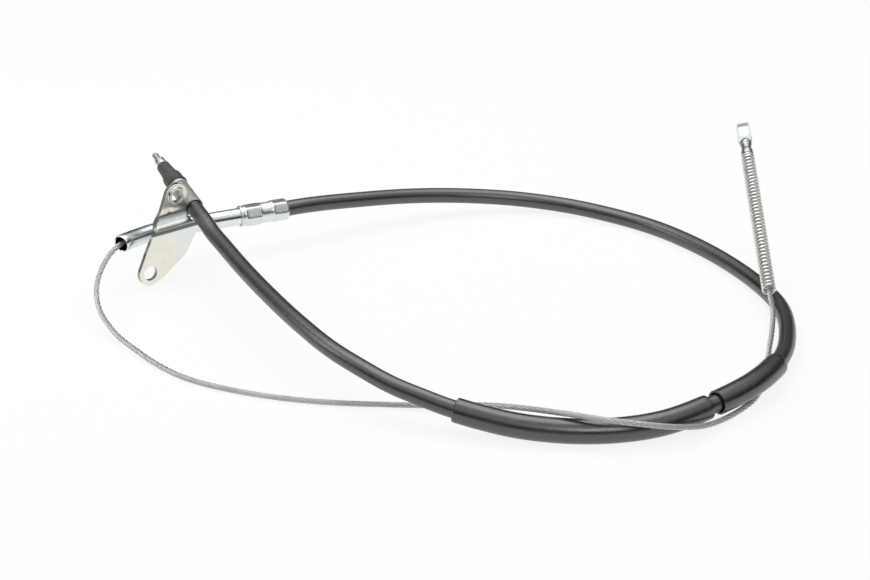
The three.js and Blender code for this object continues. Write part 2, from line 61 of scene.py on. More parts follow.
# Route of the rope's centre line between the two ends, in metres
CONDUIT_POINTS = [
    (-0.1509, 0.0439, 0.0384), (-0.143, 0.0292, 0.0363), (-0.1259, -0.0043, 0.0332),
    (-0.106, -0.0416, 0.031), (-0.0865, -0.0753, 0.0293), (-0.0663, -0.1048, 0.027),
    (-0.0471, -0.1251, 0.0243), (-0.0292, -0.1398, 0.021), (-0.0116, -0.1488, 0.0175),
    (0.0047, -0.1556, 0.0142), (0.0232, -0.1616, 0.0112), (0.0449, -0.1674, 0.0088),
    (0.0735, -0.1712, 0.0076), (0.1023, -0.1703, 0.0078), (0.1288, -0.1636, 0.009),
    (0.158, -0.1455, 0.0108), (0.1863, -0.12, 0.012), (0.2075, -0.0843, 0.0106),
    (0.2172, -0.0477, 0.0082), (0.2199, -0.0077, 0.0065), (0.2136, 0.0245, 0.0057),
    (0.1981, 0.0626, 0.0054), (0.1776, 0.0968, 0.0054), (0.1529, 0.1267, 0.0054),
    (0.1268, 0.1478, 0.0056), (0.0932, 0.1654, 0.0066), (0.0575, 0.1732, 0.0088),
    (0.0285, 0.1719, 0.0116), (-0.0004, 0.1659, 0.0148), (-0.029, 0.1556, 0.0182),
    (-0.057, 0.1418, 0.0216), (-0.082, 0.1284, 0.0245),
]
GUIDE_TUBE_POINTS = [
    (-0.097, 0.1198, 0.0259), (-0.106, 0.1154, 0.026), (-0.122, 0.1075, 0.0262),
    (-0.138, 0.0997, 0.0265), (-0.154, 0.0918, 0.0268), (-0.17, 0.0839, 0.0271),
    (-0.1805, 0.0782, 0.0275), (-0.1905, 0.071, 0.0282), (-0.202, 0.058, 0.0294),
    (-0.2122, 0.0413, 0.031),
]
FREE_ROPE_POINTS = [
    (-0.2172, 0.0336, 0.0286), (-0.2215, 0.0235, 0.0236), (-0.2238, 0.0115, 0.0178),
    (-0.2228, -0.001, 0.0124), (-0.219, -0.014, 0.0088), (-0.2115, -0.0295, 0.0062),
    (-0.203, -0.0432, 0.0044), (-0.1895, -0.0597, 0.0029), (-0.1768, -0.0746, 0.0021),
    (-0.1595, -0.0914, 0.0019), (-0.1432, -0.102, 0.0019), (-0.1181, -0.113, 0.0019),
    (-0.0906, -0.1213, 0.0019), (-0.0605, -0.1264, 0.0019), (-0.0337, -0.1284, 0.002),
    (-0.007, -0.1316, 0.003), (0.0166, -0.1394, 0.0075), (0.0339, -0.149, 0.012),
    (0.0538, -0.1598, 0.0155), (0.0733, -0.1699, 0.0178), (0.0928, -0.1774, 0.0183),
    (0.1126, -0.1796, 0.0168), (0.1332, -0.1755, 0.0126), (0.1521, -0.1629, 0.0066),
    (0.1725, -0.1408, 0.0026), (0.1887, -0.1177, 0.002), (0.1981, -0.089, 0.0034),
    (0.2034, -0.0643, 0.006), (0.2082, -0.0426, 0.0092), (0.2114, -0.023, 0.0124),
]

# Lengths that the pieces share, in metres
PIN_DEPTH = 0.064
CONDUIT_START = 0.05
CONDUIT_END = 1.14
BOOT_START = 0.0303
COLLAR_START = 0.0586
FERRULE_LENGTH = 0.035
FERRULE_START = 1.118
TUBE_START = 1.1418
TUBE_LENGTH = 0.1065
LONG_SLEEVE = (0.3615, 0.516)
SHORT_SLEEVE = (0.524, 0.589)
SPRING_START = -0.0045
SPRING_END = 0.1298
SPRING_COILS = 41
EYE_START = 0.1318


class CableSizes(bpy.types.PropertyGroup):
    """Sizes of the cable's sections"""

    rope: bpy.props.FloatProperty(
        name="Rope", description="Outer diameter of the stranded wire rope",
        default=0.0036, min=0.002, max=0.005, unit="LENGTH")
    rope_lay: bpy.props.FloatProperty(
        name="Rope lay", description="Length in which a strand winds once round the rope",
        default=0.026, min=0.01, max=0.06, unit="LENGTH")
    jacket: bpy.props.FloatProperty(
        name="Jacket", description="Outer diameter of the conduit's plastic jacket",
        default=0.0108, min=0.008, max=0.012, unit="LENGTH")
    sleeve: bpy.props.FloatProperty(
        name="Sleeves", description="Outer diameter of the two rubber sleeves",
        default=0.015, min=0.012, max=0.016, unit="LENGTH")
    tube: bpy.props.FloatProperty(
        name="Guide tube", description="Outer diameter of the steel guide tube",
        default=0.012, min=0.01, max=0.013, unit="LENGTH")
    spring: bpy.props.FloatProperty(
        name="Spring", description="Outer diameter of the return spring",
        default=0.0095, min=0.008, max=0.011, unit="LENGTH")
    spring_wire: bpy.props.FloatProperty(
        name="Spring wire", description="Diameter of the return spring's wire",
        default=0.0017, min=0.001, max=0.002, unit="LENGTH")
    plate: bpy.props.FloatProperty(
        name="Bracket sheet", description="Thickness of the pressed bracket's sheet",
        default=0.003, min=0.002, max=0.004, unit="LENGTH")


def colour(name, description, default):
    return bpy.props.FloatVectorProperty(
        name=name, description=description, default=default, subtype="COLOR", size=3, min=0, max=1)


class CableColours(bpy.types.PropertyGroup):
    """Base colours of the cable's finishes"""

    jacket: colour("Jacket", "Black plastic of the conduit", (0.0125, 0.012, 0.0114))
    sleeve: colour("Sleeves", "Black rubber of the two sleeves", (0.0125, 0.0122, 0.0118))
    boot: colour("Boot", "Dark grey rubber of the boot", (0.07, 0.066, 0.062))
    rope: colour("Rope", "Grey zinc on the rope's wires", (0.66, 0.67, 0.66))
    body: colour("Body", "Grey coated steel of the wheel-end body", (0.34, 0.34, 0.325))
    zinc: colour("Bright zinc", "Bluish zinc of the tube, the rings and the pin", (0.84, 0.88, 0.9))
    yellow_zinc: colour("Yellow zinc", "Cream passivated zinc of the bracket", (0.86, 0.86, 0.77))
    ferrule: colour("Ferrule", "Grey-green zinc of the crimped ferrule", (0.8, 0.83, 0.81))
    spring: colour("Spring", "Zinc on the spring's wire", (0.86, 0.87, 0.83))
    eye: colour("Eye", "Very bright zinc of the eye", (0.42, 0.45, 0.44))


# Route

def rope_line():
    """The listed points from the pin to the eye, in the shared frame."""
    wheel = [BODY_MOUTH + WHEEL_AXIS * s for s in (PIN_DEPTH, 0.05, 0.036, 0.022, 0.008, -0.006, -0.02)]
    middle = [Vector(p) + STAND for p in CONDUIT_POINTS + GUIDE_TUBE_POINTS + FREE_ROPE_POINTS]
    spring = [SPRING_FOOT + SPRING_AXIS * s for s in (-0.008, 0.01, 0.045, 0.08, 0.115, 0.134, 0.148)]
    return wheel + middle + spring


def span_point(p0, p1, p2, p3, t):
    """A point of the centripetal spline between p1 and p2."""
    k0, k1, k2 = (math.sqrt((b - a).length) for a, b in ((p0, p1), (p1, p2), (p2, p3)))
    m1 = ((p1 - p0) / k0 - (p2 - p0) / (k0 + k1) + (p2 - p1) / k1) * k1
    m2 = ((p2 - p1) / k1 - (p3 - p1) / (k1 + k2) + (p3 - p2) / k2) * k1
    a = 2 * p1 - 2 * p2 + m1 + m2
    b = -3 * p1 + 3 * p2 - 2 * m1 - m2
    return ((a * t + b) * t + m1) * t + p1


class Route:
    """A line in space that is read by the distance along it, with a frame that doesn't twist."""

    def __init__(self, points, per_span=24):
        ends = [2 * points[0] - points[1], *points, 2 * points[-1] - points[-2]]
        self.line = [points[0]]
        for i in range(1, len(ends) - 2):
            for k in range(1, per_span + 1):
                self.line.append(span_point(*ends[i - 1:i + 3], k / per_span))
        self.marks = [0.0]
        for a, b in zip(self.line, self.line[1:]):
            self.marks.append(self.marks[-1] + (b - a).length)
        self.length = self.marks[-1]
        runs = [(b - a).normalized() for a, b in zip(self.line, self.line[1:])]
        runs.append(runs[-1])
        side = runs[0].cross(Vector((0, 0, 1))).normalized()
        self.runs = runs
        self.sides = []
        for run in runs:
            side = (side - run * side.dot(run)).normalized()
            self.sides.append(side)

    def place(self, distance):
        """Origin, side, up and run of the line at a distance."""
        low = 0
        high = len(self.marks) - 1
        while high - low > 1:
            middle = (low + high) // 2
            if self.marks[middle] <= distance:
                low = middle
            else:
                high = middle
        t = (distance - self.marks[low]) / (self.marks[high] - self.marks[low])
        run = self.runs[low].lerp(self.runs[high], t).normalized()
        side = self.sides[low].lerp(self.sides[high], t)
        side = (side - run * side.dot(run)).normalized()
        return self.line[low].lerp(self.line[high], t), side, run.cross(side), run


ROUTE = Route(rope_line())


class Axis:
    """A straight line with a level side, read in the same way as a route."""

    def __init__(self, origin, axis, roll=0.0):
        level = axis.cross(Vector((0, 0, 1))).normalized()
        self.origin = origin
        self.run = axis
        self.side = Matrix.Rotation(roll, 3, axis) @ level
        self.up = axis.cross(self.side)

    def place(self, distance):
        return self.origin + self.run * distance, self.side, self.up, self.run


# Meshes

def finish_mesh(name, points, faces, material, uvs=None, sharp=35):
    mesh = bpy.data.meshes.new(name)
    mesh.from_pydata(points, [], faces)
    mesh.validate()
    if uvs:
        layer = mesh.uv_layers.new(name="Run")
        for loop in mesh.loops:
            layer.data[loop.index].uv = uvs[loop.vertex_index]
    mesh.polygons.foreach_set("use_smooth", [True] * len(mesh.polygons))
    mesh.set_sharp_from_angle(angle=math.radians(sharp))
    mesh.materials.append(material)
    mesh.update()
    piece = bpy.data.objects.new(name, mesh)
    bpy.context.scene.collection.objects.link(piece)
    return piece


def rounded(outline, radius, steps=3):
    """The outline of (distance, radius) pairs with its corners rounded off."""
    result = []
    count = len(outline)
    for i, (x, y) in enumerate(outline):
        here = Vector((x, y))
        if y < 1e-6:
            result.append((x, y))
            continue
        before = Vector(outline[i - 1]) - here
        after = Vector(outline[(i + 1) % count]) - here
        reach = min(radius, 0.45 * before.length, 0.45 * after.length)
        a = here + before.normalized() * reach
        b = here + after.normalized() * reach
        for k in range(steps + 1):
            t = k / steps
            p = a.lerp(here, t).lerp(here.lerp(b, t), t)
            result.append((p.x, p.y))
    return result


def turn(name, line, outline, sides, material, shape=None):
    """Sweeps an outline of (distance, radius) pairs round a line. shape may change a radius."""
    points = []
    uvs = []
    rings = []
    for distance, radius in outline:
        origin, side, up, _ = line.place(distance)
        if radius < 1e-6:
            rings.append([len(points)] * sides)
            points.append(origin)
            uvs.append((distance, 0.5))
            continue
        rings.append(list(range(len(points), len(points) + sides)))
        for k in range(sides):
            angle = 2 * math.pi * k / sides
            r = shape(angle, distance, radius) if shape else radius
            points.append(origin + (side * math.cos(angle) + up * math.sin(angle)) * r)
            uvs.append((distance, abs(1 - 2 * k / sides)))
    faces = []
    for low, high in zip(rings, rings[1:] + rings[:1]):
        for k in range(sides):
            n = (k + 1) % sides
            corners = [low[k], low[n], high[n], high[k]]
            corners = [c for i, c in enumerate(corners) if c not in corners[:i]]
            if len(corners) > 2:
                faces.append(corners)
    return finish_mesh(name, points, faces, material, uvs)


def steps_between(start, end, step):
    count = max(1, round((end - start) / step))
    return [start + (end - start) * i / count for i in range(count + 1)]


def walled_tube(start, end, outer, inner, step=0.004, lip=0.0004):
    """Outline of a tube along a line, out along the outside and back along the bore."""
    out = [(d, outer) for d in steps_between(start + lip, end - lip, step)]
    back = [(d, inner) for d in steps_between(end - lip, start + lip, -step)]
    wall = outer - inner
    head = [(end - 0.3 * lip, outer - 0.3 * lip), (end, outer - min(lip, 0.3 * wall))]
    tail = [(end, inner + min(lip, 0.3 * wall))]
    foot = [(start, inner + min(lip, 0.3 * wall)), (start, outer - min(lip, 0.3 * wall))]
    return out + head + tail + back + foot


def wound_line(line, start, end, radius, lay, phase, step):
    """Points of a helix round a line, with the line's own frame."""
    points = []
    for distance in steps_between(start, end, step):
        origin, side, up, _ = line.place(distance)
        angle = phase + 2 * math.pi * distance / lay
        points.append(origin + (side * math.cos(angle) + up * math.sin(angle)) * radius)
    return points


def wires(name, lines, radius, sides, material):
    """Round wires along several lines of points, as one mesh."""
    points = []
    faces = []
    uvs = []
    for number, line in enumerate(lines):
        side = None
        run_length = 0.0
        base = len(points)
        for i, point in enumerate(line):
            before = line[max(i - 1, 0)]
            after = line[min(i + 1, len(line) - 1)]
            run = (after - before).normalized()
            if side is None:
                side = run.orthogonal()
            side = (side - run * side.dot(run)).normalized()
            up = run.cross(side)
            run_length += (point - before).length
            for k in range(sides):
                angle = 2 * math.pi * k / sides
                points.append(point + (side * math.cos(angle) + up * math.sin(angle)) * radius)
                uvs.append((run_length, number + abs(1 - 2 * k / sides)))
        for i in range(len(line) - 1):
            for k in range(sides):
                n = (k + 1) % sides
                low = base + i * sides
                faces.append((low + k, low + n, low + sides + n, low + sides + k))
        faces.append([base + k for k in reversed(range(sides))])
        faces.append([base + (len(line) - 1) * sides + k for k in range(sides)])
    return finish_mesh(name, points, faces, material, uvs, sharp=60)


def inside(point, loop):
    x, y = point
    hit = False
    for (ax, ay), (bx, by) in zip(loop, loop[1:] + loop[:1]):
        if (ay > y) != (by > y) and x < (bx - ax) * (y - ay) / (by - ay) + ax:
            hit = not hit
    return hit


def arc(centre, radius, start, end, count):
    return [
        (centre[0] + radius * math.cos(start + (end - start) * i / count),
         centre[1] + radius * math.sin(start + (end - start) * i / count))
        for i in range(count + 1)
    ]


def sheet_piece(name, outline, holes, spacing, front, back, place, material):
    """A sheet cut to an outline with holes, pressed to a front and a back height at each point."""
    loops = [outline, *holes]
    flat = []
    edges = []
    for loop in loops:
        base = len(flat)
        flat += loop
        edges += [(base + i, base + (i + 1) % len(loop)) for i in range(len(loop))]
    border = list(flat)
    xs = [p[0] for p in outline]
    ys = [p[1] for p in outline]
    y = min(ys)
    while y < max(ys):
        x = min(xs)
        while x < max(xs):
            near = min((x - a) ** 2 + (y - b) ** 2 for a, b in border)
            if near > (0.75 * spacing) ** 2:
                flat.append((x, y))
            x += spacing
        y += spacing
    made = delaunay_2d_cdt([Vector(p) for p in flat], edges, [], 0, 1e-7)
    spots = [tuple(p) for p in made[0]]
    kept = []
    for a, b, c in made[2]:
        middle = [(spots[a][i] + spots[b][i] + spots[c][i]) / 3 for i in (0, 1)]
        if inside(middle, outline) and not any(inside(middle, hole) for hole in holes):
            kept.append((a, b, c))
    used = sorted({i for face in kept for i in face})
    number = {spot: i for i, spot in enumerate(used)}
    count = len(used)
    points = [place(*spots[i], front(*spots[i])) for i in used]
    points += [place(*spots[i], back(*spots[i])) for i in used]
    faces = []
    ways = {}
    for face in kept:
        a, b, c = (number[i] for i in face)
        faces.append((a, b, c))
        faces.append((c + count, b + count, a + count))
        for low, high in ((a, b), (b, c), (c, a)):
            ways[(low, high)] = True
    for low, high in ways:
        if (high, low) not in ways:
            faces.append((high, low, low + count, high + count))
    return finish_mesh(name, points, faces, material, sharp=50)


def bevelled(piece, width, segments=2):
    """Rounds off a piece's sharp edges."""
    modifier = piece.modifiers.new("Edges", "BEVEL")
    modifier.width = width
    modifier.segments = segments
    modifier.limit_method = "ANGLE"
    modifier.angle_limit = math.radians(50)
    modifier.harden_normals = True
    return piece


def add_piece(piece, node):
    if node:
        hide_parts(node)
    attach(piece, "root")
    return piece


# Materials

class Signal:
    """A value that runs from one shader node to the next."""

    def __init__(self, shop, socket):
        self.shop = shop
        self.socket = socket

    def sum_with(self, operation, first, second):
        return self.shop.node("ShaderNodeMath", {"operation": operation}, {0: first, 1: second})

    def __add__(self, other):
        return self.sum_with("ADD", self, other)

    def __radd__(self, other):
        return self.sum_with("ADD", other, self)

    def __sub__(self, other):
        return self.sum_with("SUBTRACT", self, other)

    def __rsub__(self, other):
        return self.sum_with("SUBTRACT", other, self)

    def __mul__(self, other):
        return self.sum_with("MULTIPLY", self, other)

    def __rmul__(self, other):
        return self.sum_with("MULTIPLY", other, self)


class NodeMaker:
    """Makes the nodes of one node tree."""

    def __init__(self, tree):
        self.tree = tree

    def node(self, kind, settings=None, inputs=None, out=0):
        """Adds a node, sets its settings first and then its sockets, and returns one of its outputs."""
        made = self.tree.nodes.new(kind)
        for name, value in (settings or {}).items():
            if name == "stops":
                ramp = made.color_ramp
                while len(ramp.elements) < len(value):
                    ramp.elements.new(1)
                for element, (position, tone) in zip(ramp.elements, value):
                    element.position = position
                    element.color = (*tone, 1)
            elif name == "easing":
                made.color_ramp.interpolation = value
            else:
                setattr(made, name, value)
        for name, value in (inputs or {}).items():
            if isinstance(value, Signal):
                self.tree.links.new(value.socket, made.inputs[name])
            else:
                made.inputs[name].default_value = value
        return Signal(self, made.outputs[out])

    def surface(self, output, share, first, second):
        """Feeds an output node with the first shader and a share of the second."""
        mixed = self.node("ShaderNodeMixShader", None, {0: share, 1: first, 2: second})
        self.tree.links.new(mixed.socket, self.tree.nodes[output].inputs["Surface"])


class Finish(NodeMaker):
    """A material that is put together from nodes."""

    def __init__(self, name, base, roughness, metallic=0.0, **constants):
        self.material = bpy.data.materials.new(name)
        self.material.use_nodes = True
        super().__init__(self.material.node_tree)
        self.shader = self.tree.nodes["Principled BSDF"]
        self.base = tuple(base)
        self.set("Base Color", (*self.base, 1))
        self.set("Roughness", roughness)
        self.set("Metallic", metallic)
        for socket, value in constants.items():
            self.set(socket.replace("_", " "), value)
        self.spot = self.node("ShaderNodeTexCoord", out="Object")
        self.run = self.node("ShaderNodeUVMap", {"uv_map": "Run"})

    def set(self, socket, value):
        """Feeds a socket of the shader with a number, a colour or a signal."""
        if isinstance(value, Signal):
            self.tree.links.new(value.socket, self.shader.inputs[socket])
        else:
            self.shader.inputs[socket].default_value = value

    def noise(self, scale, detail=3.0, rough=0.5, where=None):
        """Cloudy values from 0 to 1, where scale counts the clouds in a metre."""
        return self.node("ShaderNodeTexNoise", None, {
            "Vector": where or self.spot, "Scale": scale, "Detail": detail, "Roughness": rough,
        }, out="Fac")

    def ramp(self, value, *stops):
        """Turns a value into a tone, by stops of a place and a colour or grey."""
        tones = [(at, tone if isinstance(tone, tuple) else (tone,) * 3) for at, tone in stops]
        return self.node("ShaderNodeValToRGB", {"stops": tones}, {"Fac": value}, out="Color")

    def mask(self, value, low, high):
        """1 where the value is above high, 0 where it is below low."""
        return self.node("ShaderNodeMapRange", {"interpolation_type": "SMOOTHSTEP"}, {
            "Value": value, "From Min": low, "From Max": high,
        })

    def band(self, value, low, full, fade, high):
        """1 where the value is between full and fade, 0 where it is below low or above high."""
        return self.mask(value, low, full) * (1.0 - self.mask(value, fade, high))

    def blend(self, factor, first, second):
        """Mixes two colours."""
        tones = [(*t, 1) if isinstance(t, tuple) and len(t) == 3 else t for t in (first, second)]
        return self.node("ShaderNodeMix", {"data_type": "RGBA"}, {
            "Factor": factor, 6: tones[0], 7: tones[1],
        }, out=2)

    def tone(self, factor):
        """The base colour made lighter or darker all through."""
        return tuple(min(1.0, c * factor) for c in self.base)

    def along(self, stretch_run, stretch_round):
        """Position on a swept piece, as (distance, angle), stretched each way."""
        return self.node("ShaderNodeVectorMath", {"operation": "MULTIPLY"}, {
            0: self.run, 1: (stretch_run, stretch_round, 1),
        })

    def bump(self, height, distance):
        """Raises the surface by a height from 0 to 1 times a distance, and returns the material."""
        self.set("Normal", self.node("ShaderNodeBump", None, {
            "Height": height, "Distance": distance, "Strength": 1.0,
        }))
        return self.material


def jacket_finish(colours):
    f = Finish("extruded black jacket", colours.jacket, 0.32, Specular_IOR_Level=0.8, IOR=1.7)
    cloud = f.noise(60, 4)
    streaks = f.noise(1, 4, 0.6, f.along(30, 22))
    wound = f.node("ShaderNodeTexWave", {"wave_type": "BANDS", "bands_direction": "X"}, {
        "Vector": f.along(1, 0), "Scale": 52, "Distortion": 0.3, "Detail": 1.0,
    }, out="Fac")
    dust = f.mask(f.noise(420, 5, 0.7), 0.62, 0.78)
    plastic = f.blend(cloud, f.tone(0.8), f.tone(1.35))
    f.set("Base Color", f.blend(dust * 0.35, plastic, (0.05, 0.048, 0.044)))
    f.set("Roughness", 0.24 + cloud * 0.1 + streaks * 0.08)
    return f.bump(f.noise(900, 3) * 0.3 + streaks * 0.4 + wound * 0.35, 0.00006)


def sleeve_finish(colours):
    f = Finish("satin black rubber sleeve", colours.sleeve, 0.3, Specular_IOR_Level=0.8, IOR=1.68)
    cloud = f.noise(45, 4)
    drawn = f.noise(1, 5, 0.6, f.along(24, 30))
    rubbed = f.mask(f.noise(180, 5, 0.65), 0.56, 0.74)
    rubber = f.blend(cloud, f.tone(0.85), f.tone(1.3))
    f.set("Base Color", f.blend(rubbed * 0.4, rubber, (0.045, 0.043, 0.041)))
    f.set("Roughness", 0.22 + cloud * 0.14 + rubbed * 0.12)
    return f.bump(f.noise(700, 3) * 0.35 + drawn * 0.5 + f.noise(80, 2) * 0.6, 0.00012)


def boot_finish(colours):
    f = Finish("matt rubber boot", colours.boot, 0.62, Specular_IOR_Level=0.4)
    cloud = f.noise(140, 4)
    bloom = f.mask(f.noise(320, 5, 0.7), 0.52, 0.75)
    rubber = f.blend(cloud, f.tone(0.75), f.tone(1.3))
    f.set("Base Color", f.blend(bloom * 0.5, rubber, (0.11, 0.105, 0.1)))
    f.set("Roughness", 0.52 + cloud * 0.2)
    return f.bump(f.noise(1800, 4) * 0.5 + cloud * 0.5, 0.00012)


def rope_finish(colours):
    f = Finish("zinc-coated wire strands", colours.rope, 0.36, 1.0)
    cloud = f.noise(90, 4)
    lay = f.node("ShaderNodeTexWave", {"wave_type": "BANDS", "bands_direction": "DIAGONAL"}, {
        "Vector": f.along(300, 5), "Scale": 1.0, "Distortion": 0.4, "Detail": 1.0,
    }, out="Fac")
    grime = f.mask(f.noise(500, 5, 0.7), 0.5, 0.72)
    bright = f.blend(cloud, f.tone(0.85), f.tone(1.3))
    f.set("Base Color", f.blend(grime * 0.3, f.blend(lay, f.tone(0.62), bright), (0.3, 0.29, 0.27)))
    f.set("Roughness", 0.34 + grime * 0.2 + cloud * 0.08)
    return f.bump(lay * 0.6 + f.noise(2500, 2) * 0.2, 0.00009)


def body_finish(colours):
    f = Finish("grey coated steel", colours.body, 0.5, 0.75)
    cloud = f.noise(160, 5, 0.6)
    pits = f.mask(f.noise(1100, 4, 0.6), 0.55, 0.7)
    rub = f.mask(f.noise(240, 5, 0.7), 0.55, 0.72)
    coated = f.blend(cloud, f.tone(0.6), f.tone(1.5))
    f.set("Base Color", f.blend(rub * 0.5, f.blend(pits * 0.6, coated, f.tone(0.45)), (0.5, 0.5, 0.48)))
    f.set("Roughness", 0.4 + cloud * 0.2 + pits * 0.12)
    return f.bump(cloud * 0.5 - pits * 0.5 + f.noise(3000, 2) * 0.2, 0.00015)


def zinc_finish(name, base, roughness, marks):
    """Bright plated steel with smudges, fine turning lines and a few dark marks."""
    f = Finish(name, base, roughness, 1.0)
    cloud = f.noise(110, 4, 0.55)
    lines = f.noise(1, 5, 0.7, f.along(2600, 3))
    dark = f.mask(f.noise(380, 5, 0.7), 0.6, 0.76)
    warm = (min(1, base[0] * 1.04), base[1], base[2] * 0.93)
    cool = (base[0] * 0.82, base[1] * 0.86, base[2] * 0.92)
    f.set("Base Color", f.blend(dark * marks, f.blend(cloud, cool, warm), f.tone(0.42)))
    f.set("Roughness", roughness - 0.05 + cloud * 0.12 + lines * 0.06 + dark * 0.15)
    return f.bump(lines * 0.5 + f.noise(900, 3) * 0.3 + cloud * 0.4, 0.00005)


def ferrule_finish(colours):
    f = Finish("crimped grey-green zinc", colours.ferrule, 0.34, 1.0)
    cloud = f.noise(150, 4)
    hatch = f.node("ShaderNodeTexWave", {"wave_type": "BANDS", "bands_direction": "DIAGONAL"}, {
        "Vector": f.along(520, 6), "Scale": 1.0, "Distortion": 1.6, "Detail": 2.0,
    }, out="Fac")
    drawn = f.noise(1, 5, 0.7, f.along(60, 60))
    dark = f.mask(f.noise(420, 5, 0.7), 0.55, 0.72)
    plated = f.blend(cloud, f.tone(0.86), f.tone(1.1))
    hatched = f.blend(hatch * 0.25, plated, f.tone(0.72))
    f.set("Base Color", f.blend(dark * 0.3, hatched, (0.42, 0.41, 0.37)))
    f.set("Roughness", 0.2 + cloud * 0.1 + drawn * 0.1)
    return f.bump(hatch * 0.3 + drawn * 0.35 + cloud * 0.3, 0.00006)


def yellow_zinc_finish(colours):
    f = Finish("cream passivated zinc", colours.yellow_zinc, 0.27, 1.0)
    drift = f.noise(38, 3, 0.5)
    cloud = f.noise(160, 4)
    film = f.ramp(drift, (0.32, (0.8, 0.87, 0.78)), (0.44, tuple(colours.yellow_zinc)),
                  (0.53, (0.9, 0.86, 0.74)), (0.6, (0.85, 0.86, 0.84)), (0.7, (0.78, 0.86, 0.84)))
    drawn = f.noise(1, 5, 0.7, f.node("ShaderNodeVectorMath", {"operation": "MULTIPLY"}, {
        0: f.spot, 1: (420, 420, 2400),
    }))
    dark = f.mask(f.noise(330, 5, 0.7), 0.6, 0.76)
    plated = f.blend(dark * 0.3, f.blend(cloud * 0.3, film, f.tone(0.8)), (0.45, 0.43, 0.34))
    # Painted shade on the sheet's cut edges, in a band under its fold and on the slope above the fold
    facing = f.node("ShaderNodeVectorMath", {"operation": "DOT_PRODUCT"}, {
        0: f.node("ShaderNodeNewGeometry", out="True Normal"), 1: SHEET_NORMAL,
    }, out="Value")
    # The sheet's side faces, its cut edges, darkened as painted shade
    cut = 1.0 - f.mask(facing * facing, 0.06, 0.3)
    height = f.node("ShaderNodeSeparateXYZ", None, {0: f.spot}, out="Z")
    # A band of painted shade along the underside of the fold, placed by height over the floor
    fold_painted_shade = f.band(height, 0.0332, 0.0344, 0.0366, 0.0382)
    # Painted shade on the slope between the fold and the ear, placed by height over the floor
    slope_painted_shade = f.band(height, 0.0396, 0.0408, 0.0428, 0.0455)
    plated = f.blend(slope_painted_shade * 0.8, plated, (0.2, 0.225, 0.235))
    plated = f.blend(fold_painted_shade * 0.92, plated, (0.08, 0.085, 0.085))
    f.set("Base Color", f.blend(cut * 0.75, plated, (0.16, 0.18, 0.18)))
    f.set("Roughness", 0.2 + cloud * 0.12 + drawn * 0.06 + dark * 0.15)
    return f.bump(drawn * 0.35 + cloud * 0.5 + f.noise(60, 2) * 0.6, 0.00009)


def hidden_finish(name, base, metallic):
    """Plain finish of an inner layer, with its winding."""
    f = Finish(name, base, 0.45, metallic)
    cloud = f.noise(200, 4)
    turns = f.node("ShaderNodeTexWave", {"wave_type": "BANDS", "bands_direction": "Z"}, {
        "Vector": f.spot, "Scale": 90, "Distortion": 1.0,
    }, out="Fac")
    f.set("Base Color", f.blend(cloud, f.tone(0.75), f.tone(1.15)))
    f.set("Roughness", 0.35 + cloud * 0.2)
    return f.bump(turns * 0.5 + cloud * 0.5, 0.0001)


def colours_of(context):
    return context.scene.cable_colours


def sizes_of(context):
    return context.scene.cable_sizes


# Pieces

